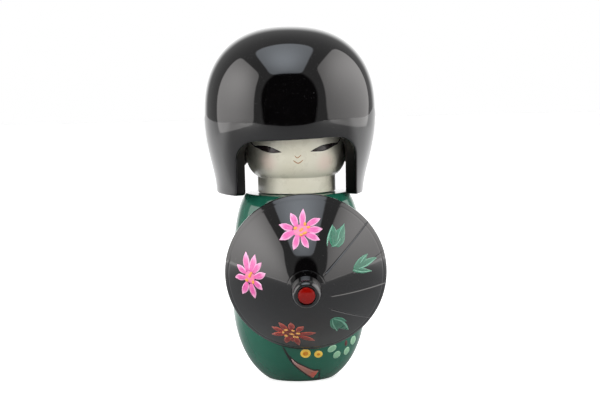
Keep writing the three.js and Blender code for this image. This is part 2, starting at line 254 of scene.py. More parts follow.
class Recipe(Nodes):
    """A node material being built round one Principled shader."""

    def __init__(self, name):
        self.material = bpy.data.materials.new(name)
        self.material.use_nodes = True
        super().__init__(self.material.node_tree)
        self.shader = self.tree.nodes["Principled BSDF"]

    def coords(self, scale=(1, 1, 1), source="Object"):
        where = self.node("ShaderNodeTexCoord")
        mapping = self.node("ShaderNodeMapping")
        mapping.inputs["Scale"].default_value = scale
        self.link(where.outputs[source], mapping.inputs["Vector"])
        return mapping.outputs["Vector"]

    def mix(self, factor, a, b):
        made = self.node("ShaderNodeMix", data_type="RGBA")
        # The colour sockets share their names with the number and vector ones, so they go by place.
        sockets = (made.inputs[0], made.inputs[6], made.inputs[7])
        for socket, value in zip(sockets, (factor, a, b)):
            if isinstance(value, (int, float)):
                socket.default_value = value
            elif isinstance(value, tuple):
                socket.default_value = (*value, 1.0)
            else:
                self.link(value, socket)
        return made.outputs[2]

    def distance_to(self, point):
        where = self.node("ShaderNodeTexCoord")
        made = self.node("ShaderNodeVectorMath", operation="DISTANCE")
        self.link(where.outputs["Object"], made.inputs[0])
        made.inputs[1].default_value = point
        return made.outputs["Value"]

    def bump(self, height, strength, distance, before=None):
        made = self.node("ShaderNodeBump")
        made.inputs["Strength"].default_value = strength
        made.inputs["Distance"].default_value = distance
        self.link(height, made.inputs["Height"])
        if before is not None:
            self.link(before, made.inputs["Normal"])
        return made.outputs["Normal"]

    def finish(self, color, roughness, normal=None, **values):
        self.link(color, self.shader.inputs["Base Color"])
        self.link(roughness, self.shader.inputs["Roughness"])
        if normal is not None:
            self.link(normal, self.shader.inputs["Normal"])
        for key, value in values.items():
            self.shader.inputs[key.replace("_", " ")].default_value = value
        return self.material


def lacquer(name, deep, light, rough=(0.05, 0.11), coat=0.5, gloss=0.5):
    """Hand-rubbed gloss lacquer: slow colour drift, soft ripple, faint rubbing marks and dust nibs."""
    r = Recipe(name)
    where = r.coords()
    drift = r.span(r.noise(where, 45, 4, 0.6), 0.3, 0.7)
    speck = r.span(r.noise(where, 2600, 1, 0.5), 0.71, 0.78)
    rubbed = r.span(r.noise(r.coords((900, 900, 70)), 1.0, 5, 0.7), 0.5, 0.8)
    color = r.mix(drift, deep, light)
    color = r.mix(r.math("MULTIPLY", speck, 0.25), color, tuple(min(1.0, 0.12 + 1.5 * v) for v in light))
    roughness = r.math("ADD", r.span(rubbed, 0.0, 1.0, *rough), r.math("MULTIPLY", speck, 0.12))
    waves = r.bump(r.noise(where, 110, 2, 0.4), 0.05, 0.0009)
    nibs = r.bump(speck, 0.06, 0.00004, waves)
    return r.finish(color, roughness, nibs, Coat_Weight=coat, Coat_Roughness=0.03, Specular_IOR_Level=gloss)


CHEEKS = [(-9.9, -14.1, 74.9), (10.1, -13.9, 74.3)]


def cream_paint():
    """Semi-gloss cream face paint with soft pink cheeks and slight brush unevenness."""
    r = Recipe("cream_paint_fine")
    where = r.coords()
    drift = r.span(r.noise(where, 70, 4, 0.6), 0.3, 0.7)
    fleck = r.span(r.noise(where, 1500, 2, 0.6), 0.64, 0.8)
    color = r.mix(drift, (0.70, 0.675, 0.55), (0.76, 0.735, 0.62))
    color = r.mix(r.math("MULTIPLY", fleck, 0.35), color, (0.58, 0.55, 0.44))
    for cheek in CHEEKS:
        near = r.distance_to(tuple(v * MM for v in cheek))
        blush = r.span(near, 0.0010, 0.0050, 0.40, 0.0)
        color = r.mix(blush, color, (0.80, 0.56, 0.50))
    brushed = r.noise(r.coords((160, 160, 1300)), 1.0, 3, 0.6)
    roughness = r.span(r.noise(where, 260, 4, 0.6), 0.3, 0.7, 0.24, 0.36)
    normal = r.bump(brushed, 0.12, 0.00006)
    return r.finish(color, roughness, normal, Coat_Weight=0.25, Coat_Roughness=0.15)


def bare_wood():
    """Turned close-grained wood."""
    r = Recipe("bare_wood_fine")
    where = r.coords((1, 1, 0.12))
    rings = r.node("ShaderNodeTexWave", wave_type="RINGS", rings_direction="Z")
    rings.inputs["Scale"].default_value = 260
    rings.inputs["Distortion"].default_value = 5
    rings.inputs["Detail"].default_value = 3
    r.link(where, rings.inputs["Vector"])
    fibre = r.noise(r.coords((2400, 2400, 120)), 1.0, 4, 0.65)
    color = r.mix(rings.outputs["Fac"], (0.50, 0.33, 0.17), (0.66, 0.47, 0.27))
    color = r.mix(r.span(fibre, 0.45, 0.75, 0.0, 0.5), color, (0.36, 0.22, 0.10))
    roughness = r.span(fibre, 0.2, 0.8, 0.5, 0.72)
    return r.finish(color, roughness, r.bump(fibre, 0.3, 0.00008))


def brush_paint(name, edge, middle, streak, base=None, tip=None, rough=0.3):
    """One loaded brush stroke: U runs along it and V across it. Lighter at its edges, streaked along."""
    r = Recipe(name)
    along, across = r.separate(r.coords(source="UV"))[:2]
    across = r.math("ABSOLUTE", r.math("SUBTRACT", across, 0.5))
    hairs = r.noise(r.coords((1.6, 6.5, 1), "UV"), 1.0, 5, 0.7, 0.6)
    patches = r.noise(r.coords(), 420, 3, 0.6)
    color = r.mix(r.span(hairs, 0.38, 0.66), streak, middle)
    color = r.mix(r.span(r.math("ADD", across, r.math("MULTIPLY", patches, 0.12)), 0.3, 0.52), color, edge)
    if tip is not None:
        color = r.mix(r.span(along, 0.55, 1.0, 0.0, 0.8), color, tip)
    if base is not None:
        color = r.mix(r.span(along, 0.0, 0.35, 0.75, 0.0), color, base)
    roughness = r.span(patches, 0.3, 0.7, rough - 0.06, rough + 0.1)
    return r.finish(color, roughness, r.bump(hairs, 0.35, 0.00006), Coat_Weight=0.3, Coat_Roughness=0.08)


# ---- shapes shared by solids and paint -----------------------------------------------------------
BASE_RADIUS = 11.2
BELLY_Z = 27.5
SHOULDER = (18.6, 61.5)
SHOULDER_ROUND = 1.9


def body_profile():
    belly = (BELLY_RADIUS, BELLY_Z)
    lower = cubic((BASE_RADIUS, 0), (BASE_RADIUS + 8.1, 5.1), (BELLY_RADIUS, BELLY_Z - 11), belly, 70)
    upper = cubic(belly, (BELLY_RADIUS, BELLY_Z + 17), (SHOULDER[0] + 2.3, SHOULDER[1] - 4.5), SHOULDER, 60)
    shoulder = quadratic(
        SHOULDER, (SHOULDER[0] - SHOULDER_ROUND / 2, BODY_TOP), (SHOULDER[0] - SHOULDER_ROUND, BODY_TOP), 10
    )
    return np.vstack([lower, upper[1:], shoulder[1:]])


NECK_RADIUS = 13.2
NECK_TOP = 69.3
HEAD_WIDE_Z = 78.0
HEAD_TOP = HEAD_HIGH[2]


def head_profile():
    jaw = cubic((NECK_RADIUS, NECK_TOP), (NECK_RADIUS + 2, NECK_TOP + 0.8), (HEAD_RADIUS, NECK_TOP + 4),
                (HEAD_RADIUS, HEAD_WIDE_Z), 40)
    crown = cubic((HEAD_RADIUS, HEAD_WIDE_Z), (HEAD_RADIUS, HEAD_TOP - 8), (HEAD_RADIUS - 4, HEAD_TOP),
                  (6, HEAD_TOP), 30)
    return np.vstack([jaw, crown[1:]])


CANOPY_RADIUS = 26.7
CANOPY_HEIGHT = 20.0
CANOPY_BEND = (15.7, 14.3)
FERRULE_RADIUS = 4.95
FERRULE_LENGTH = 6.0
FERRULE_END = 3.5
FERRULE_STRAIGHT = 0.8
FERRULE_GAP = 0.3
BEAD_RADIUS = 2.75
BEAD_GAP = 0.3
BEAD_RECESS = 1.4
BEAD_DEPTH = 1.1
BEAD_DOME = 0.6
BEAD_EDGE = 0.25
SHAFT_LOW = -14.0
SHAFT_HIGH = CANOPY_HEIGHT + 2.6
SHAFT_CHAMFER = 0.5
SHAFT_WAVER = 0.03
CANOPY_CURVE = quadratic((CANOPY_RADIUS, 0), CANOPY_BEND, (FERRULE_RADIUS, CANOPY_HEIGHT), 120)
BODY_CURVE = body_profile()
HEAD_CURVE = head_profile()


def canopy_height(radius):
    return np.interp(radius, CANOPY_CURVE[::-1, 0], CANOPY_CURVE[::-1, 1])


def on_canopy(points):
    """Points and outward normals on the canopy over (across, up) positions in the parasol's frame."""
    points = np.asarray(points, float)
    rho = np.maximum(np.hypot(points[..., 0], points[..., 1]), FERRULE_RADIUS)
    slope = (canopy_height(rho + 0.2) - canopy_height(rho - 0.2)) / 0.4
    local = np.stack([points[..., 0], points[..., 1], canopy_height(rho)], -1)
    normal = np.stack([-slope * points[..., 0] / rho, -slope * points[..., 1] / rho, np.ones_like(rho)], -1)
    normal /= np.linalg.norm(normal, axis=-1, keepdims=True)
    return parasol_to_world(local), parasol_to_world(normal) - PARASOL_CENTRE


def on_front(curve):
    """The same for the front of a turned piece, over (x, z) positions."""
    order = np.argsort(curve[:, 1])
    heights = curve[order, 1]
    radii = curve[order, 0]

    def surface(points):
        points = np.asarray(points, float)
        x, z = points[..., 0], points[..., 1]
        radius = np.interp(z, heights, radii)
        slope = (np.interp(z + 0.2, heights, radii) - np.interp(z - 0.2, heights, radii)) / 0.4
        y = -np.sqrt(np.maximum(radius**2 - x**2, 0.01))
        normal = np.stack([x / radius, y / radius, -slope], -1)
        normal /= np.linalg.norm(normal, axis=-1, keepdims=True)
        return np.stack([x, y, z], -1), normal

    return surface


on_body = on_front(BODY_CURVE)
on_face = on_front(HEAD_CURVE)


# ---- brush strokes -------------------------------------------------------------------------------
STROKE_SINK = 0.05


class Strokes:
    """Thin raised strokes of paint that lie on one surface, gathered into one mesh."""

    def __init__(self, surface):
        self.surface = surface
        self.verts = []
        self.faces = []
        self.uvs = []

    def strip(self, left, right, height, columns=9, ridge=0.0):
        """A closed lens of paint between two edges with the same number of points."""
        left = np.asarray(left, float)
        right = np.asarray(right, float)
        rows = len(left)
        v = np.linspace(0, 1, columns)
        u = np.linspace(0, 1, rows)
        flat = left[:, None, :] * (1 - v)[None, :, None] + right[:, None, :] * v[None, :, None]
        base, normal = self.surface(flat)
        dome = (1 - (2 * v - 1) ** 4) ** 0.6 * (1 - ridge * np.exp(-(((v - 0.5) / 0.14) ** 2)))
        ends = np.clip(np.sin(math.pi * np.clip(u, 0.0, 1.0)), 0, 1) ** 0.35
        lift = height * dome[None, :] * ends[:, None]
        top = base + normal * (lift - STROKE_SINK * (lift <= 1e-9))[..., None]
        bottom = base - normal * STROKE_SINK
        start = len(self.verts)
        self.verts.extend(top.reshape(-1, 3))
        self.verts.extend(bottom.reshape(-1, 3))
        for _ in range(2):
            self.uvs.extend([(a, b) for a in u for b in v])
        under = rows * columns
        for i in range(rows - 1):
            for j in range(columns - 1):
                a = start + i * columns + j
                b = a + columns
                self.faces.append((a, b, b + 1, a + 1))
                self.faces.append((a + under, a + 1 + under, b + 1 + under, b + under))
        rim = [start + i * columns for i in range(rows)]
        rim += [start + (rows - 1) * columns + j for j in range(1, columns)]
        rim += [start + i * columns + columns - 1 for i in range(rows - 2, -1, -1)]
        rim += [start + j for j in range(columns - 2, 0, -1)]
        for a, b in zip(rim, rim[1:] + rim[:1]):
            self.faces.append((a, a + under, b + under, b))

    def petal(self, base, tip, width, height, bend=0.0, foot=0.35, ridge=0.3):
        """A pointed stroke from base to tip, widest halfway; foot is its share of the width at the start."""
        base = np.array(base, float)
        tip = np.array(tip, float)
        along = tip - base
        side = np.array([-along[1], along[0]]) / np.linalg.norm(along)
        u = np.linspace(0, 1, 22)
        rise = foot + (1 - foot) * np.sin(math.pi / 2 * np.clip(u / 0.5, 0, 1))
        fall = 1 - np.clip((u - 0.5) / 0.5, 0, 1) ** 1.7
        start = np.clip(u / 0.06, 0, 1) ** 0.5
        half = width / 2 * rise * fall * start
        centre = base + u[:, None] * along + (np.sin(math.pi * u) * bend)[:, None] * side
        self.strip(centre + half[:, None] * side, centre - half[:, None] * side, height, ridge=ridge)

    def line(self, points, width, height, taper=0.6):
        """A stroke of even width along a smooth line through the points, pointed at both ends."""
        u = np.linspace(0, 1, 26)
        centre = smooth_through(points, u)
        tangent = np.gradient(centre, axis=0)
        tangent /= np.linalg.norm(tangent, axis=1, keepdims=True)
        side = np.stack([-tangent[:, 1], tangent[:, 0]], -1)
        half = width / 2 * np.clip(np.sin(math.pi * u), 0, 1) ** taper
        half = np.maximum(half, 1e-3)
        self.strip(centre + half[:, None] * side, centre - half[:, None] * side, height, columns=7)

    def dot(self, centre, rx, ry, turn=0.0, *, height):
        """A round or oval dab."""
        angle = math.radians(turn)
        long_way = np.array([math.cos(angle), math.sin(angle)])
        side = np.array([-long_way[1], long_way[0]])
        t = np.linspace(0, math.pi, 18)
        centre = np.array(centre, float)
        spine = centre - rx * np.cos(t)[:, None] * long_way
        half = np.maximum(ry * np.sin(t), 1e-3)
        self.strip(spine + half[:, None] * side, spine - half[:, None] * side, height)

    def patch(self, left, right, height, rows):
        """A filled area between two drawn edges."""
        u = np.linspace(0, 1, rows)
        self.strip(smooth_through(left, u), smooth_through(right, u), height, columns=13)

    def build(self, name, material, body):
        obj = mesh_object(name, self.verts, self.faces, material, self.uvs, sharp=60)
        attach(obj, body)
        return obj


def smooth_through(points, u):
    """A Catmull-Rom curve through points, sampled at the fractions u of its length."""
    points = np.array(points, float)
    steps = np.r_[0, np.cumsum(np.linalg.norm(np.diff(points, axis=0), axis=1))]
    steps = steps / steps[-1]
    out = []
    last = len(points) - 1
    for value in u:
        i = int(np.clip(np.searchsorted(steps, value) - 1, 0, last - 1))
        span = max(steps[i + 1] - steps[i], 1e-9)
        t = (value - steps[i]) / span
        p1, p2 = points[i], points[i + 1]
        p0 = points[i - 1] if i > 0 else 2 * p1 - p2
        p3 = points[i + 2] if i + 2 <= last else 2 * p2 - p1
        out.append(
            0.5 * (2 * p1 + (p2 - p0) * t + (2 * p0 - 5 * p1 + 4 * p2 - p3) * t**2
                   + (3 * p1 - p0 - 3 * p2 + p3) * t**3)
        )
    return np.array(out)


# ---- hair cap ------------------------------------------------------------------------------------
HAIR_OFFSET_X = -1.8
HAIR_TILT = math.radians(1.2)
HAIR_RADIUS = 29.08
HAIR_WIDE_Z = 91.0
HAIR_TOP_Z = 119.97
HAIR_DOME_POWER = 2.33
HAIR_TAPER = 111.0
HAIR_FOOT_RADIUS = 24.7
HAIR_FOOT_BLEND = 1.2
HAIR_BOTTOM_Z = 63.6
HAIR_WALL_TOP = 5.6
HAIR_WALL_BOTTOM = 4.2
CAVITY_TOP_Z = 101.0
CAVITY_TOP_FLAT = 8.0
FRINGE_Z = 83.1
FRINGE_TILT = math.radians(1.7)
FACE_INSIDE = {"left": -16.9, "right": 16.3, "corner_x": 4.0, "corner_z": 5.4}
FACE_OUTSIDE = {"left": -20.0, "right": 20.0, "corner_x": 6.4, "corner_z": 7.0}
NAPE = {"half": 19.0, "top": 73.5, "corner": 5.0}
EDGE_ROUND = 0.6
HEM_CORNER = 1.3
HAIR_DOME_STEPS = 42
HAIR_SIDE_STEPS = 30
HAIR_INSIDE_STEPS = 14


def hair_radius(z):
    z = np.asarray(z, float)
    low = HAIR_RADIUS - (HAIR_WIDE_Z - np.minimum(z, HAIR_WIDE_Z)) ** 2 / HAIR_TAPER
    over = (low - HAIR_FOOT_RADIUS) / HAIR_FOOT_BLEND
    low = HAIR_FOOT_RADIUS + HAIR_FOOT_BLEND * np.log1p(np.exp(over)) - 0.02
    low = np.minimum(low, HAIR_RADIUS)
    rise = np.clip((z - HAIR_WIDE_Z) / (HAIR_TOP_Z - HAIR_WIDE_Z), 0, 1)
    high = HAIR_RADIUS * (1 - rise**HAIR_DOME_POWER) ** (1 / HAIR_DOME_POWER)
    return np.where(z <= HAIR_WIDE_Z, low, high)


def hair_wall(z):
    part = (HAIR_WIDE_Z - np.asarray(z, float)) / (HAIR_WIDE_Z - HAIR_BOTTOM_Z)
    return HAIR_WALL_TOP + (HAIR_WALL_BOTTOM - HAIR_WALL_TOP) * part


def inner_radius(z):
    return hair_radius(z) - hair_wall(z)


def cap_to_world(points):
    """From the leaning cap's own frame to the row frame."""
    points = np.asarray(points, float)
    x, y, z = points[..., 0], points[..., 1], points[..., 2] - HAIR_WIDE_Z
    c, s = math.cos(HAIR_TILT), math.sin(HAIR_TILT)
    return np.stack([HAIR_OFFSET_X + x * c + z * s, y, HAIR_WIDE_Z - x * s + z * c], -1)


def world_to_cap(x, z):
    c, s = math.cos(HAIR_TILT), math.sin(HAIR_TILT)
    x = x - HAIR_OFFSET_X
    z = z - HAIR_WIDE_Z
    return x * c - z * s, HAIR_WIDE_Z + x * s + z * c


def opening_loop(face, radius):
    """The cap's lower edge as (azimuth, height) in its own frame, from the fringe's middle rightwards
    round the back. Azimuth 0 is the front and grows towards +X. Then come where the right lock starts
    and ends in it, and how many of its points are the right half's."""

    def at(x, z, back=False):
        x0, z0 = world_to_cap(x, z)
        angle = math.asin(np.clip(x0 / float(radius(z0)), -1, 1))
        return ((math.pi - angle) if back else angle, z0)

    def tilted(x, z):
        part = np.clip((z - HAIR_BOTTOM_Z) / (FRINGE_Z - HAIR_BOTTOM_Z), 0, 1)
        return x, z + x * part * part * (3 - 2 * part) * math.tan(FRINGE_TILT)

    def half(sign, side):
        edge = abs(side)
        cx, cz = face["corner_x"], face["corner_z"]
        middle = (face["left"] + face["right"]) / 2
        points = []
        for x in np.linspace(middle, sign * (edge - cx), 26)[:-1]:
            points.append(at(*tilted(x, FRINGE_Z)))
        lock_start = len(points)
        for angle in np.linspace(math.pi / 2, 0, 15)[:-1]:
            x = sign * (edge - cx * (1 - math.cos(angle)))
            points.append(at(*tilted(x, FRINGE_Z - cz * (1 - math.sin(angle)))))
        for z in np.linspace(FRINGE_Z - cz, HAIR_BOTTOM_Z + HEM_CORNER, 20):
            points.append(at(*tilted(sign * edge, z)))
        front_angle = at(sign * edge, HAIR_BOTTOM_Z)[0]
        back_angle = at(sign * NAPE["half"], HAIR_BOTTOM_Z, True)[0]
        if sign < 0:
            back_angle -= 2 * math.pi
        step = HEM_CORNER / HAIR_FOOT_RADIUS * sign
        hem = HAIR_BOTTOM_Z
        for t in np.linspace(0.12, 1, 7):
            a = math.pi / 2 * t
            points.append((front_angle + step * (1 - math.cos(a)), hem + HEM_CORNER * (1 - math.sin(a))))
        for angle in np.linspace(front_angle + step, back_angle - step, 26)[1:-1]:
            points.append((angle, hem))
        for t in np.linspace(0, 0.88, 7):
            a = math.pi / 2 * t
            points.append((back_angle - step * (1 - math.sin(a)), hem + HEM_CORNER * (1 - math.cos(a))))

        def behind(x, z):
            angle, height = at(x, z, True)
            return (angle - 2 * math.pi if sign < 0 else angle, height)

        nape, top, corner = NAPE["half"], NAPE["top"], NAPE["corner"]
        for z in np.linspace(HAIR_BOTTOM_Z + HEM_CORNER, top - corner, 10)[:-1]:
            points.append(behind(sign * nape, z))
        for angle in np.linspace(0, math.pi / 2, 12):
            x = sign * (nape - corner * (1 - math.cos(angle)))
            points.append(behind(x, top - corner * (1 - math.sin(angle))))
        lock_end = len(points)
        for x in np.linspace(sign * (nape - corner), 0, 24)[1:]:
            points.append(behind(x, top))
        return points, lock_start, lock_end

    right, start, end = half(1, face["right"])
    left, _, _ = half(-1, face["left"])
    loop = np.array(right + [(a + 2 * math.pi, z) for a, z in left[::-1][1:-1]])
    return loop, start, end, len(right)


def ring_angles(loop, start, end, right_count):
    """Where each column of the cap meets its widest ring: straight above, but spread evenly over the
    side locks."""
    angles = loop[:, 0].copy()
    mirror = 2 * right_count - 2
    for a, b in ((start, end), (mirror - end, min(mirror - start, len(loop) - 1))):
        part = loop[a:b + 1]
        step = np.hypot(np.diff(part[:, 0]) * HAIR_FOOT_RADIUS, np.diff(part[:, 1]))
        run = np.r_[0, np.cumsum(step)]
        angles[a:b + 1] = part[0, 0] + (part[-1, 0] - part[0, 0]) * run / run[-1]
    return angles


def inset(loop, radius, distance):
    """The loop moved into the hair by a distance along its surface."""
    r = radius(loop[:, 1])
    flat = np.stack([loop[:, 0] * r, loop[:, 1]], -1)
    ahead = np.roll(loop, -1, axis=0)
    ahead[-1, 0] += 2 * math.pi
    behind = np.roll(loop, 1, axis=0)
    behind[0, 0] -= 2 * math.pi
    tangent = np.stack([(ahead[:, 0] - behind[:, 0]) * r, ahead[:, 1] - behind[:, 1]], -1)
    tangent /= np.linalg.norm(tangent, axis=1, keepdims=True)
    normal = np.stack([-tangent[:, 1], tangent[:, 0]], -1)
    moved = flat + normal * distance
    return np.stack([moved[:, 0] / r, moved[:, 1]], -1)


def on_cap(angle, z, radius):
    r = radius(z)
    return np.stack([r * np.sin(angle), -r * np.cos(angle), z], -1)


def eased(start, corner, end, count):
    """The rows after the first of a rounded turn between two rows of points."""
    steps = np.linspace(0, 1, count)[1:]
    return [(1 - t) ** 2 * start + 2 * t * (1 - t) * corner + t**2 * end for t in steps]


def make_hair(material, inside):
    outer_loop, start, end, right_count = opening_loop(FACE_OUTSIDE, hair_radius)
    inner_loop = opening_loop(FACE_INSIDE, inner_radius)[0]
    ring = ring_angles(outer_loop, start, end, right_count)
    columns = len(outer_loop)
    outer_start = inset(outer_loop, hair_radius, EDGE_ROUND)
    inner_start = inset(inner_loop, inner_radius, EDGE_ROUND)
    ring_z = HAIR_WIDE_Z + 3
    rows = []
    for i in range(HAIR_DOME_STEPS, 0, -1):
        angle = i / HAIR_DOME_STEPS * math.pi / 2
        r = math.sin(angle) ** (2 / HAIR_DOME_POWER)
        z = math.cos(angle) ** (2 / HAIR_DOME_POWER)
        height = HAIR_WIDE_Z + (HAIR_TOP_Z - HAIR_WIDE_Z) * z
        if height < ring_z:
            continue
        rows.append(np.stack([
            HAIR_RADIUS * r * np.sin(ring), -HAIR_RADIUS * r * np.cos(ring), np.full(columns, height)], -1))
    rows = rows[::-1]
    for i in range(HAIR_SIDE_STEPS + 1):
        t = 1 - i / HAIR_SIDE_STEPS
        angle = outer_start[:, 0] + (ring - outer_start[:, 0]) * t
        z = outer_start[:, 1] + (ring_z - outer_start[:, 1]) * t
        rows.append(on_cap(angle, z, hair_radius))
    corner_out = on_cap(outer_loop[:, 0], outer_loop[:, 1], hair_radius)
    corner_in = on_cap(inner_loop[:, 0], inner_loop[:, 1], inner_radius)
    across = corner_in - corner_out
    length = np.linalg.norm(across, axis=1, keepdims=True)
    across /= length
    a = on_cap(outer_start[:, 0], outer_start[:, 1], hair_radius)
    b = on_cap(inner_start[:, 0], inner_start[:, 1], inner_radius)
    wall_out = corner_out + across * EDGE_ROUND
    wall_in = corner_in - across * EDGE_ROUND
    rows += eased(a, corner_out, wall_out, 6)
    wall_row = len(rows) - 1
    rows += [wall_out + (wall_in - wall_out) * t for t in np.linspace(0, 1, 6)[1:]]
    rows += eased(wall_in, corner_in, b, 5)
    for i in range(1, HAIR_INSIDE_STEPS + 1):
        t = i / HAIR_INSIDE_STEPS
        angle = inner_start[:, 0] + (ring - inner_start[:, 0]) * t
        z = inner_start[:, 1] + (HAIR_WIDE_Z - inner_start[:, 1]) * t
        rows.append(on_cap(angle, z, inner_radius))
    cavity = HAIR_RADIUS - HAIR_WALL_TOP
    ceiling = quadratic((cavity, HAIR_WIDE_Z), (cavity, CAVITY_TOP_Z), (CAVITY_TOP_FLAT, CAVITY_TOP_Z), 10)
    for r, z in ceiling[1:]:
        rows.append(np.stack([r * np.sin(ring), -r * np.cos(ring), np.full(columns, z)], -1))
    verts = np.concatenate(rows)
    faces = grid_faces(len(rows), columns)
    top = len(verts)
    verts = np.vstack([verts, [[0, 0, HAIR_TOP_Z], [0, 0, CAVITY_TOP_Z]]])
    last = (len(rows) - 1) * columns
    for j in range(columns):
        k = (j + 1) % columns
        faces.append((top, k, j))
        faces.append((top + 1, last + j, last + k))
    slots = [0] * (columns * wall_row) + [1] * (columns * (len(rows) - 1 - wall_row)) + [0, 1] * columns
    cap = mesh_object("hair_cap_lacquered", cap_to_world(verts), faces, material, sharp=50, slots=slots)
    cap.data.materials.append(inside)
    return cap


# ---- parasol -------------------------------------------------------------------------------------
CANOPY_WALL = 2.6
RIM_BAND = 1.1
RIM_LIP = 1.4
SHAFT_BORE = 2.5
SHAFT_RADIUS = 2.2
RING = {"radius": 6.4, "width": 0.12, "depth": 0.03}
RIM_LINE = {"radius": 25.5, "width": 0.16, "depth": 0.1}
RIB_LINES = [((5.6, 4.4), (20.6, 17.0)), ((15.5, 3.2), (25.7, 6.8)), ((7.2, -2.8), (26.6, -3.9)),
             ((6.8, -7.2), (21.4, -16.1))]
RIB_WIDTH = 0.22
RIB_DEPTH = 0.34


def canopy_cuts(x, y, z):
    """How far the canopy's outside is cut in by its turned lines and the engraved rib lines."""
    rho = np.hypot(x, y)
    outside = np.clip(1 - np.abs(z - canopy_height(rho)) / 0.3, 0, 1) * (rho <= CANOPY_RADIUS + 1e-6)
    cut = np.zeros_like(z)
    for line in (RING, RIM_LINE):
        cut -= line["depth"] * np.exp(-(((rho - line["radius"]) / line["width"]) ** 2))
    for (x0, y0), (x1, y1) in RIB_LINES:
        along = np.array([x1 - x0, y1 - y0])
        length = np.hypot(*along)
        along /= length
        t = (x - x0) * along[0] + (y - y0) * along[1]
        off = np.abs(-(x - x0) * along[1] + (y - y0) * along[0])
        fade = np.clip(t / 1.5, 0, 1) * (t > 0)
        cut -= RIB_DEPTH * fade * np.exp(-((off / RIB_WIDTH) ** 2))
    return cut * (outside > 0.01)


def canopy_angles():
    """Even columns round the canopy, and many fine ones along the rib lines."""
    angles = list(np.linspace(0, 2 * math.pi, 220, endpoint=False))
    for (x0, y0), (x1, y1) in RIB_LINES:
        first, last = sorted((math.atan2(y0, x0), math.atan2(y1, x1)))
        angles.extend(np.arange(first - 0.07, last + 0.07, 0.0022))
    angles = np.unique(np.round(np.mod(angles, 2 * math.pi), 5))
    keep = [angles[0]]
    for angle in angles[1:]:
        if angle - keep[-1] > 0.0012:
            keep.append(angle)
    return np.array(keep)


def make_canopy(material):
    curve = quadratic((CANOPY_RADIUS, 0), CANOPY_BEND, (FERRULE_RADIUS, CANOPY_HEIGHT), 90)
    fine = []
    for line in (RING, RIM_LINE):
        for d in np.linspace(-3, 3, 13) * line["width"]:
            r = line["radius"] + d
            fine.append((r, canopy_height(r)))
    outside = np.array(sorted([tuple(p) for p in curve] + fine, key=lambda p: -p[0]))
    underside = quadratic((CANOPY_RADIUS - RIM_LIP, -RIM_BAND),
                          (CANOPY_BEND[0] - CANOPY_WALL / 2, CANOPY_BEND[1] - CANOPY_WALL),
                          (SHAFT_BORE, CANOPY_HEIGHT - CANOPY_WALL), 30)
    rim = softened([underside[1], (CANOPY_RADIUS - RIM_LIP, -RIM_BAND), (CANOPY_RADIUS, -RIM_BAND),
                    (CANOPY_RADIUS, 0), outside[3]], 0.32, 6)[1:-1]
    profile = np.vstack([rim, outside[3:], [(SHAFT_BORE, CANOPY_HEIGHT)], underside[::-1][:-1]])
    return lathe_ring("parasol_canopy_lacquered", profile, material, canopy_angles(), parasol_to_world,
                      canopy_cuts, sharp=50)


def make_ferrule(material):
    foot = CANOPY_HEIGHT + FERRULE_GAP
    end = foot + FERRULE_LENGTH
    recess = BEAD_RADIUS + BEAD_GAP
    floor = end - BEAD_RECESS
    turn = np.linspace(0, 1.48, 24)
    side = np.stack([FERRULE_END + (FERRULE_RADIUS - FERRULE_END) * np.cos(turn),
                     foot + FERRULE_STRAIGHT + (FERRULE_LENGTH - FERRULE_STRAIGHT) * np.sin(turn)], -1)
    low = softened([(0, foot), (FERRULE_RADIUS, foot), (FERRULE_RADIUS, foot + FERRULE_STRAIGHT)], 0.25)[:-1]
    lip = quadratic((FERRULE_END - 0.12, end), (recess, end), (recess, end - 0.25), 6)
    profile = np.vstack([low, side, lip, [(recess, floor), (0, floor)]])
    return lathe("parasol_ferrule_lacquered", profile, material, 128, parasol_to_world, sharp=50)


def make_tip(material):
    end = CANOPY_HEIGHT + FERRULE_GAP + FERRULE_LENGTH
    foot = end - BEAD_DEPTH
    flat = BEAD_RADIUS - BEAD_EDGE
    t = np.linspace(0, math.pi / 2, 14)
    edge = np.stack([flat + BEAD_EDGE * np.cos(t), end - BEAD_EDGE + BEAD_EDGE * np.sin(t)], -1)
    cap = [(r, end + BEAD_DOME * (1 - (r / BEAD_RADIUS) ** 2)) for r in np.linspace(flat, 0.3, 16)]
    profile = np.vstack([[(0, foot), (BEAD_RADIUS, foot)], edge, cap[1:], [(0, end + BEAD_DOME)]])
    return lathe("parasol_tip_lacquered", profile, material, 96, parasol_to_world, sharp=50)


def make_shaft(material):
    """A stick turned by hand, so that its radius wavers a little."""
    rest = SHAFT_HIGH - SHAFT_LOW - 2 * SHAFT_CHAMFER
    side = [(SHAFT_RADIUS + SHAFT_WAVER * math.sin(k * 1.7), SHAFT_LOW + SHAFT_CHAMFER + k * rest / 40)
            for k in range(41)]
    end = SHAFT_RADIUS - SHAFT_CHAMFER
    profile = np.vstack([[(0, SHAFT_LOW), (end, SHAFT_LOW)], side, [(end, SHAFT_HIGH), (0, SHAFT_HIGH)]])
    return lathe("parasol_shaft_turned", profile, material, 64, parasol_to_world)


# ---- body and head -------------------------------------------------------------------------------
def make_body(material):
    foot = softened([(0, 0.35), (BASE_RADIUS - 1.6, 0.3), (BASE_RADIUS - 1.0, 0.0), (BASE_RADIUS, 0.0),
                     BODY_CURVE[2]], [0, 0.4, 0.3, 0.5, 0], 5)
    profile = np.vstack([foot[:-1], BODY_CURVE[2:], [(0, BODY_TOP)]])
    return lathe("body_lacquered", profile, material, 220)


def make_head(material):
    neck = softened([(0, NECK_FOOT), (NECK_RADIUS, NECK_FOOT), (NECK_RADIUS, NECK_TOP - 0.4)], 0.3, 5)
    crease = quadratic((NECK_RADIUS, NECK_TOP - 0.4), (NECK_RADIUS, NECK_TOP), HEAD_CURVE[2], 5)
    profile = np.vstack([neck, crease[1:], HEAD_CURVE[3:], [(0, HEAD_TOP)]])
    return lathe("head_painted", profile, material, 180)


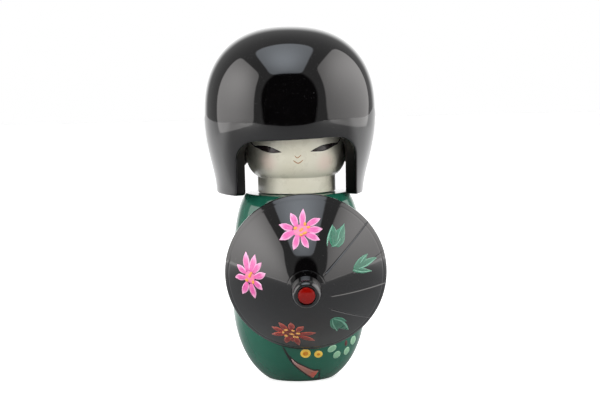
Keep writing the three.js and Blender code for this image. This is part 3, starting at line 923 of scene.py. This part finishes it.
# ---- painted motifs ------------------------------------------------------------------------------
PINK_FLOWER_TOP = {
    "petals": [
        ((-0.8, 18.2), (-0.4, 23.0), 1.9), ((-2.7, 18.3), (-4.6, 21.9), 2.1),
        ((-3.8, 17.9), (-8.4, 18.6), 1.7), ((-3.4, 17.0), (-8.3, 14.5), 1.9),
        ((-2.4, 16.2), (-3.9, 12.0), 1.9), ((-1.1, 15.9), (1.1, 12.5), 1.8),
        ((0.2, 16.3), (4.8, 14.5), 1.7), ((0.7, 17.5), (5.7, 17.4), 1.8), ((0.6, 18.6), (5.1, 20.2), 1.7),
    ],
    "heart": ((-1.3, 17.3), 2.6, 1.9, 10),
    "dots": [
        ((-3.1, 17.9), 0.6, 0.45, 20), ((0.0, 19.0), 0.45, 0.55, 0), ((1.1, 18.1), 0.6, 0.42, 0),
        ((-0.1, 16.6), 0.75, 0.4, 15), ((-1.3, 16.1), 0.5, 0.42, 0), ((-1.2, 17.5), 0.75, 0.4, 30),
    ],
}
PINK_FLOWER_SIDE = {
    "petals": [
        ((-19.0, 3.4), (-19.4, 9.5), 2.0), ((-17.9, 3.4), (-16.4, 9.3), 1.9),
        ((-17.1, 3.3), (-14.2, 7.3), 1.6), ((-16.9, 2.0), (-13.0, 4.2), 2.0),
        ((-17.0, 0.8), (-14.2, -1.6), 2.0), ((-17.9, -0.2), (-16.6, -5.3), 1.9),
        ((-19.1, -0.1), (-20.9, -4.9), 1.9), ((-19.5, 1.3), (-23.2, 0.3), 1.9),
        ((-19.4, 2.7), (-22.4, 4.8), 1.9),
    ],
    "heart": ((-18.2, 1.8), 1.6, 2.2, 0),
    "dots": [
        ((-19.2, 0.5), 0.5, 0.62, 0), ((-17.1, 0.4), 0.42, 0.7, 0), ((-18.2, 2.3), 0.42, 0.9, -20),
        ((-17.7, 3.2), 0.35, 0.5, -10),
    ],
}
RED_FLOWER = {
    "petals": [
        ((-6.2, -16.4), (-9.3, -13.1), 1.7), ((-5.2, -16.2), (-5.3, -12.7), 2.0),
        ((-3.4, -16.8), (-1.1, -14.2), 1.8), ((-2.6, -17.8), (3.0, -17.6), 1.6),
        ((-2.8, -19.0), (2.5, -21.6), 1.7), ((-3.7, -19.6), (-2.7, -24.1), 1.8),
        ((-6.3, -19.4), (-7.1, -23.1), 1.9), ((-7.2, -18.5), (-11.7, -19.3), 1.9),
        ((-7.4, -17.3), (-11.6, -15.5), 1.7), ((-4.9, -19.6), (-4.7, -22.2), 1.4),
    ],
    "heart": ((-5.0, -18.0), 2.8, 1.9, 0),
    "dots": [
        ((-6.9, -16.2), 0.75, 0.42, 15), ((-7.8, -17.5), 0.35, 0.62, 0), ((-6.9, -19.1), 0.62, 0.5, 0),
        ((-4.6, -16.3), 0.6, 0.35, -10), ((-5.0, -18.0), 0.8, 0.35, -5), ((-3.0, -17.6), 0.75, 0.42, -10),
        ((-4.2, -19.3), 0.55, 0.4, 10), ((-3.3, -19.5), 0.55, 0.4, -15),
    ],
}
LEAVES = [
    ((9.3, 12.0), (8.9, 18.3), 3.2), ((9.7, 12.0), (11.0, 17.0), 3.2), ((9.9, 12.0), (12.8, 18.0), 3.0),
    ((10.2, 11.9), (12.9, 15.2), 2.3), ((15.4, 4.3), (20.3, 7.8), 2.5), ((16.0, 4.3), (23.2, 5.8), 2.5),
    ((15.0, 4.1), (21.6, 1.9), 1.7), ((15.6, 4.2), (19.6, 4.6), 2.2), ((8.2, -11.7), (13.7, -18.7), 3.3),
    ((8.1, -11.8), (9.9, -18.0), 2.9), ((8.4, -11.7), (13.0, -14.4), 2.2),
]
LEAF_STROKES = [
    ([(7.0, 12.5), (7.5, 15.3), (9.0, 18.3)], 0.6), ([(10.2, 13.2), (11.2, 16.0), (12.9, 18.1)], 0.4),
    ([(8.2, 12.3), (9.9, 12.6), (11.6, 14.4)], 0.4), ([(15.0, 4.2), (17.8, 2.8), (21.7, 1.9)], 0.5),
    ([(16.6, 4.0), (19.6, 4.3), (23.2, 5.6)], 0.65), ([(17.4, 5.4), (18.7, 6.8), (20.1, 7.6)], 0.5),
    ([(8.1, -11.8), (8.5, -14.8), (9.9, -18.1)], 0.6), ([(8.2, -11.7), (11.4, -13.9), (13.7, -18.6)], 0.65),
]


def paint_flower(name, flower, petal_paint, heart_paint, dot_paint):
    heart = Strokes(on_canopy)
    heart.dot(*flower["heart"], height=0.1)
    heart.build(f"{name}_heart", heart_paint, "parasol")
    petals = Strokes(on_canopy)
    for i, (base, tip, width) in enumerate(flower["petals"]):
        petals.petal(base, tip, 1.16 * width, height=0.2 + 0.02 * (i % 3), bend=0.12 * (-1) ** i, foot=0.5)
    petals.build(f"{name}_petals", petal_paint, "parasol")
    dots = Strokes(on_canopy)
    for dab in flower["dots"]:
        dots.dot(*dab, height=0.34)
    dots.build(f"{name}_dots", dot_paint, "parasol")


def paint_parasol():
    pink = brush_paint("paint_pink", (0.85, 0.43, 0.64), (0.72, 0.18, 0.42), (0.56, 0.06, 0.27),
                       base=(0.66, 0.08, 0.32), tip=(0.88, 0.46, 0.66))
    pink_heart = brush_paint("paint_pink_heart", (0.62, 0.08, 0.30), (0.70, 0.13, 0.33), (0.74, 0.20, 0.30))
    red = brush_paint("paint_rust", (0.50, 0.10, 0.06), (0.36, 0.03, 0.02), (0.20, 0.012, 0.010),
                      base=(0.34, 0.02, 0.012), tip=(0.44, 0.13, 0.10))
    red_heart = brush_paint("paint_rust_heart", (0.22, 0.02, 0.008), (0.24, 0.022, 0.008),
                            (0.13, 0.012, 0.008))
    yellow = brush_paint("paint_yellow", (0.76, 0.30, 0.06), (0.80, 0.40, 0.05), (0.66, 0.26, 0.03))
    pale_yellow = brush_paint("paint_pale_yellow", (0.72, 0.34, 0.08), (0.86, 0.55, 0.20), (0.74, 0.34, 0.08))
    leaf = brush_paint("paint_leaf", (0.06, 0.24, 0.15), (0.030, 0.19, 0.11), (0.015, 0.10, 0.06))
    pale_leaf = brush_paint("paint_pale_leaf", (0.10, 0.32, 0.22), (0.20, 0.42, 0.31), (0.10, 0.30, 0.20))
    paint_flower("flower_top", PINK_FLOWER_TOP, pink, pink_heart, yellow)
    paint_flower("flower_side", PINK_FLOWER_SIDE, pink, pink_heart, yellow)
    paint_flower("flower_low", RED_FLOWER, red, red_heart, pale_yellow)
    leaves = Strokes(on_canopy)
    for base, tip, width in LEAVES:
        leaves.petal(base, tip, width, height=0.16, ridge=0.15)
    leaves.build("leaves", leaf, "parasol")
    veins = Strokes(on_canopy)
    for points, width in LEAF_STROKES:
        veins.line(points, width, height=0.26)
    veins.build("leaf_strokes", pale_leaf, "parasol")


RIBBON_LEFT = [(-6.3, 14.0), (-5.5, 12.0), (-4.4, 9.7), (-2.6, 6.8), (-0.6, 4.6), (1.4, 2.7), (3.3, 1.0)]
RIBBON_RIGHT = [(-6.1, 14.1), (-4.9, 12.3), (-3.4, 10.1), (-1.0, 8.0), (1.5, 6.6), (4.0, 5.2), (6.5, 4.9)]
RIBBON_END = [(3.3, 1.0), (5.9, 0.9), (6.2, 2.8), (6.5, 4.9)]
PINK_LEFT = [(-3.4, 9.4), (-2.2, 7.2), (-0.5, 5.3), (1.3, 3.5), (2.8, 2.1), (3.9, 1.1)]
PINK_RIGHT = [(-3.0, 9.3), (-1.5, 7.7), (0.5, 6.6), (2.6, 5.4), (4.4, 4.5), (6.1, 4.3)]
YELLOW_DOTS = [((1.7, 11.0), 1.72, 0.95), ((6.0, 10.5), 1.4, 0.6)]
GREEN_OVALS = [((10.6, 12.0), 1.65, 1.15, 32), ((12.2, 9.5), 1.45, 1.2, 50), ((15.6, 10.2), 1.5, 0.95, 68),
               ((17.9, 13.6), 1.6, 0.95, 78)]
MAROON_DAB = ((15.4, 13.2), 1.05, 0.5, 88)
RIBBON_RED_SPOT = (4.4, 2.7)


def paint_body():
    black = brush_paint("paint_outline", (0.012, 0.011, 0.010), (0.016, 0.014, 0.013), (0.008, 0.007, 0.007))
    salmon = Recipe("paint_ribbon")
    parts = salmon.separate(salmon.coords(source="UV"))
    streaks = salmon.noise(salmon.coords((2, 11, 1), "UV"), 1.0, 4, 0.6, 0.5)
    tone = salmon.mix(salmon.span(parts[0], 0.0, 0.45), (0.42, 0.30, 0.30), (0.34, 0.15, 0.12))
    spot = tuple(float(v) * MM for v in on_body([RIBBON_RED_SPOT])[0][0])
    near = salmon.distance_to(spot)
    tone = salmon.mix(salmon.span(near, 0.0004, 0.0030, 0.95, 0.0), tone, (0.62, 0.095, 0.06))
    tone = salmon.mix(salmon.span(streaks, 0.4, 0.75, 0.0, 0.4), tone, (0.50, 0.32, 0.26))
    ribbon_paint = salmon.finish(tone, salmon.span(streaks, 0.2, 0.8, 0.25, 0.4),
                                 salmon.bump(streaks, 0.3, 0.00006), Coat_Weight=0.3, Coat_Roughness=0.08)
    yellow = brush_paint("paint_disc_rim", (0.85, 0.56, 0.10), (0.84, 0.58, 0.08), (0.74, 0.48, 0.06))
    amber = brush_paint("paint_disc_heart", (0.66, 0.27, 0.01), (0.62, 0.24, 0.008), (0.52, 0.18, 0.006))
    mint = brush_paint("paint_mint", (0.38, 0.60, 0.42), (0.28, 0.50, 0.33), (0.20, 0.42, 0.26))
    maroon = brush_paint("paint_maroon", (0.10, 0.035, 0.035), (0.14, 0.04, 0.035), (0.08, 0.02, 0.02))
    outline, ribbon = Strokes(on_body), Strokes(on_body)
    outline.patch(RIBBON_LEFT, RIBBON_RIGHT, 0.07, rows=60)
    outline.line(RIBBON_END, 0.6, 0.12)
    outline.build("ribbon_outline", black, "body")
    ribbon.patch(PINK_LEFT, PINK_RIGHT, 0.15, rows=50)
    ribbon.build("ribbon_fill", ribbon_paint, "body")
    discs, hearts, ovals = Strokes(on_body), Strokes(on_body), Strokes(on_body)
    for centre, big, small in YELLOW_DOTS:
        discs.dot(centre, big, big, height=0.12)
        hearts.dot(centre, small, small, height=0.2)
    for dab in GREEN_OVALS:
        ovals.dot(*dab, height=0.15)
    discs.build("dot_rims", yellow, "body")
    hearts.build("dot_hearts", amber, "body")
    ovals.build("mint_dabs", mint, "body")
    small_dab = Strokes(on_body)
    small_dab.dot(*MAROON_DAB, height=0.12)
    small_dab.build("maroon_dab", maroon, "body")


EYES = [
    ([(-14.2, 80.15), (-12.6, 80.45), (-10.4, 80.5), (-8.4, 80.1), (-6.5, 79.3), (-4.8, 78.4)],
     [(-14.2, 80.0), (-12.7, 79.4), (-10.8, 78.5), (-8.7, 77.95), (-6.7, 77.95), (-4.8, 78.25)]),
    ([(14.3, 80.5), (12.6, 80.75), (10.3, 80.65), (8.3, 80.2), (6.6, 79.4), (4.9, 78.45)],
     [(14.3, 80.3), (12.7, 79.6), (10.9, 78.7), (8.9, 78.15), (6.8, 78.1), (4.9, 78.3)]),
]
LASHES = [[(-13.4, 80.1), (-14.4, 80.5), (-15.0, 81.3)], [(13.4, 80.4), (14.4, 80.9), (15.0, 81.9)]]
NOSE = [(-0.5, 77.2), (0.4, 76.35), (1.8, 77.3)]
MOUTH = [(-1.1, 75.6), (0.7, 74.55), (2.4, 75.65)]


def paint_face():
    dark = brush_paint("paint_eye", (0.010, 0.008, 0.007), (0.034, 0.024, 0.024), (0.016, 0.012, 0.012),
                       rough=0.2)
    ink = brush_paint("paint_ink", (0.012, 0.010, 0.009), (0.016, 0.013, 0.012), (0.010, 0.008, 0.008))
    ochre = brush_paint("paint_ochre", (0.50, 0.27, 0.10), (0.42, 0.20, 0.06), (0.32, 0.14, 0.05))
    eyes, lashes, marks = Strokes(on_face), Strokes(on_face), Strokes(on_face)
    for upper, lower in EYES:
        eyes.patch(upper, lower, 0.05, rows=36)
    for points in LASHES:
        lashes.line(points, 0.36, 0.05, taper=0.4)
    marks.line(NOSE, 0.34, 0.05, taper=0.3)
    marks.line(MOUTH, 0.42, 0.05, taper=0.3)
    eyes.build("eyes", dark, "head")
    lashes.build("lashes", ink, "head")
    marks.build("nose_and_mouth", ochre, "head")


# ---- the object ----------------------------------------------------------------------------------
BLACK = (0.0010, 0.0009, 0.0010)
black_lacquer = lacquer("black_lacquer_fine", BLACK, (0.0022, 0.0019, 0.0021))
green_lacquer = lacquer("green_lacquer_fine", (0.008, 0.078, 0.050), (0.013, 0.108, 0.068),
                        rough=(0.08, 0.16), coat=0.2)
red_lacquer = lacquer("red_lacquer_fine", (0.16, 0.002, 0.0015), (0.22, 0.004, 0.002),
                      rough=(0.05, 0.1), coat=0.0, gloss=0.35)
black_inside = lacquer("black_inside", BLACK, (0.003, 0.0026, 0.0028),
                       rough=(0.35, 0.5), coat=0.0, gloss=0.15)
wood = bare_wood()
cream = cream_paint()

made = {
    "body": (make_body(green_lacquer), "body", "green_lacquer"),
    "head": (make_head(cream), "head", "cream_paint"),
    "hair_cap": (make_hair(black_lacquer, black_inside), "head", "black_lacquer"),
    "parasol_canopy": (make_canopy(black_lacquer), "parasol", "black_lacquer"),
    "parasol_ferrule": (make_ferrule(black_lacquer), "parasol", "black_lacquer"),
    "parasol_tip": (make_tip(red_lacquer), "parasol", "red_lacquer"),
    "parasol_shaft": (make_shaft(wood), "parasol", "bare_wood"),
}
for node, (piece, body, slot) in made.items():
    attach(piece, body)
    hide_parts(node)
for node in ("neck_dowel", "hair_dowel"):
    for material_slot in frame["nodes"][node].material_slots:
        material_slot.material = wood
paint_parasol()
paint_body()
paint_face()


# ---- the studio ----------------------------------------------------------------------------------
WHITE = (1, 1, 1, 1)
FLOOR = {"front": -520.0, "back": 1500.0, "half": 900.0}
FLOOR_GLOW = 0.62
MIRRORED_GLOW = {"from": 0.0, "to": 0.16, "most": 0.85, "beside": 0.15}


def make_floor():
    """A pale sheet on a light table: white to look at, and a soft grey as the lacquer mirrors it."""
    r = Recipe("pale_floor")
    grain = r.noise(r.coords(), 220, 4, 0.6)
    color = r.mix(grain, (0.84, 0.84, 0.84), (0.88, 0.88, 0.875))
    r.shader.inputs["Emission Color"].default_value = WHITE
    r.shader.inputs["Emission Strength"].default_value = FLOOR_GLOW
    material = r.finish(color, r.span(grain, 0.3, 0.7, 0.45, 0.6), Specular_IOR_Level=0.2)
    dim = r.node("ShaderNodeBsdfDiffuse")
    r.link(r.mix(grain, (0.36, 0.36, 0.365), (0.40, 0.40, 0.40)), dim.inputs["Color"])
    place = r.separate(r.coords())
    beside = r.math("MULTIPLY", r.math("ABSOLUTE", place[0]), MIRRORED_GLOW["beside"])
    lit = r.node("ShaderNodeEmission")
    lit.inputs["Color"].default_value = WHITE
    behind = r.math("ADD", place[1], beside)
    glow = r.span(behind, MIRRORED_GLOW["from"], MIRRORED_GLOW["to"], 0.0, MIRRORED_GLOW["most"])
    r.link(glow, lit.inputs["Strength"])
    mirrored = r.node("ShaderNodeAddShader")
    r.link(dim.outputs[0], mirrored.inputs[0])
    r.link(lit.outputs[0], mirrored.inputs[1])
    output = next(n for n in r.tree.nodes if n.type == "OUTPUT_MATERIAL")
    r.link(r.seen_or_mirrored(r.shader.outputs[0], mirrored.outputs[0]), output.inputs["Surface"])
    front, back, half = FLOOR["front"], FLOOR["back"], FLOOR["half"]
    verts = [(-half, front, 0), (half, front, 0), (half, back, 0), (-half, back, 0)]
    floor = mesh_object("floor", verts, [(0, 1, 2, 3)], material)


def soft_edges(data):
    """A soft box: brightest round the middle of its cloth, fading out over its rounded edges."""
    data.use_nodes = True
    n = Nodes(data.node_tree)
    emission = next(node for node in n.tree.nodes if node.type == "EMISSION")
    parts = n.separate(n.node("ShaderNodeNewGeometry").outputs["Parametric"])
    offsets = [n.math("SUBTRACT", parts[i], 0.5) for i in (0, 1)]
    rounded = 0.0
    for offset in offsets:
        from_middle = n.math("MULTIPLY", n.math("ABSOLUTE", offset), 2.0)
        rounded = n.math("ADD", rounded, n.math("POWER", from_middle, 7.0))
    cloth = n.span(rounded, 0.55, 1.05, 1.0, 0.0)
    squares = [n.math("POWER", offset, 2.0) for offset in offsets]
    glow = n.span(n.math("SQRT", n.math("ADD", *squares)), 0.0, 0.6, 1.5, 0.72)
    n.link(n.math("MULTIPLY", cloth, glow), emission.inputs["Strength"])


RADIANCE = 2.0
WARM, DAYLIGHT, SKY = (1.0, 0.97, 0.96), (1.0, 0.99, 0.97), (0.84, 0.91, 1.0)
# Name, centre, what it faces, width and height, share of the radiance, colour, whether lacquer mirrors it.
PANELS = [
    ("left_wall", (-0.5, -0.13, 0.30), (0, -0.13, 0.30), (0.68, 0.66), 1.0, WARM, True),
    ("right_wall", (0.5, 0.0, 0.38), (0, 0.0, 0.38), (0.90, 0.80), 0.85, WARM, True),
    ("left_fill", (-0.60, -0.44, 0.14), (0, 0, 0.07), (0.45, 0.5), 3.1, DAYLIGHT, False),
    ("right_fill", (0.60, -0.44, 0.14), (0, 0, 0.07), (0.45, 0.5), 2.6, DAYLIGHT, False),
    ("ceiling", (-0.05, -0.24, 0.62), (-0.05, -0.24, 0.0), (0.56, 0.68), 1.0, SKY, True),
]


def make_lights():
    """A soft tent: a wall of light at each side, one overhead, and two fills for the matt paint."""
    for name, centre, towards, size, share, color, mirrored in PANELS:
        data = bpy.data.lights.new(name, "AREA")
        data.shape = "RECTANGLE"
        data.size, data.size_y = size
        data.energy = share * (RADIANCE * math.pi * size[0] * size[1])
        data.color = color
        light = bpy.data.objects.new(name, data)
        light.location = centre
        direction = Vector(towards) - Vector(centre)
        light.rotation_euler = direction.to_track_quat("-Z", "Y").to_euler()
        soft_edges(data)
        light.visible_camera = False
        light.visible_glossy = mirrored
        bpy.context.scene.collection.objects.link(light)


OPENING_HEIGHT = 9
OPENING = {"outer": 40, "inner": 36}
BACKDROP = {"outer": 38, "inner": 14, "glow": 1.1}
TENT_GLOW = 0.32


def make_world():
    """White all round for the camera. The lacquer sees a dim tent with a dark round opening in front."""
    world = bpy.data.worlds.new("tent")
    bpy.context.scene.world = world
    world.use_nodes = True
    n = Nodes(world.node_tree)
    n.tree.nodes.clear()

    def cosine(degrees):
        return math.cos(math.radians(degrees))

    def background(strength):
        made_node = n.node("ShaderNodeBackground")
        made_node.inputs["Color"].default_value = WHITE
        if isinstance(strength, float):
            made_node.inputs["Strength"].default_value = strength
        else:
            n.link(strength, made_node.inputs["Strength"])
        return made_node.outputs[0]

    where = n.node("ShaderNodeTexCoord").outputs["Generated"]
    ahead = n.node("ShaderNodeVectorMath", operation="DOT_PRODUCT")
    ahead.inputs[1].default_value = (0.0, -cosine(OPENING_HEIGHT), math.sin(math.radians(OPENING_HEIGHT)))
    n.link(where, ahead.inputs[0])
    hole = n.span(ahead.outputs["Value"], cosine(OPENING["outer"]), cosine(OPENING["inner"]), TENT_GLOW, 0.0)
    behind = n.separate(where)["Y"]
    backdrop = n.span(behind, cosine(BACKDROP["outer"]), cosine(BACKDROP["inner"]), 0.0, BACKDROP["glow"])
    tent = background(n.math("ADD", hole, backdrop))
    output = n.node("ShaderNodeOutputWorld")
    n.link(n.seen_or_mirrored(background(1.0), tent), output.inputs["Surface"])


CAMERA_AT = Vector((0.001, -0.711, 0.1305))
CAMERA_TARGET = Vector((0.001, 0.0, 0.0606))
CAMERA_ROLL = math.radians(1.3)
VIEW_WIDTH = 0.2046
SENSOR_WIDTH = 36.0


def make_camera():
    data = bpy.data.cameras.new("camera")
    camera = bpy.data.objects.new("camera", data)
    bpy.context.scene.collection.objects.link(camera)
    forward = CAMERA_TARGET - CAMERA_AT
    distance = forward.length
    forward.normalize()
    right = forward.cross(Vector((0, 0, 1))).normalized()
    up = right.cross(forward)
    image_right = right * math.cos(CAMERA_ROLL) - up * math.sin(CAMERA_ROLL)
    image_up = right * math.sin(CAMERA_ROLL) + up * math.cos(CAMERA_ROLL)
    turn = Matrix((image_right, image_up, -forward)).transposed()
    camera.matrix_world = Matrix.Translation(CAMERA_AT) @ turn.to_4x4()
    data.sensor_width = SENSOR_WIDTH
    data.lens = SENSOR_WIDTH * distance / VIEW_WIDTH
    data.clip_start = 0.01
    data.clip_end = 50
    bpy.context.scene.camera = camera


make_floor()
make_lights()
make_world()
make_camera()
bpy.context.scene.view_settings.view_transform = "Standard"
bpy.context.scene.view_settings.look = "None"
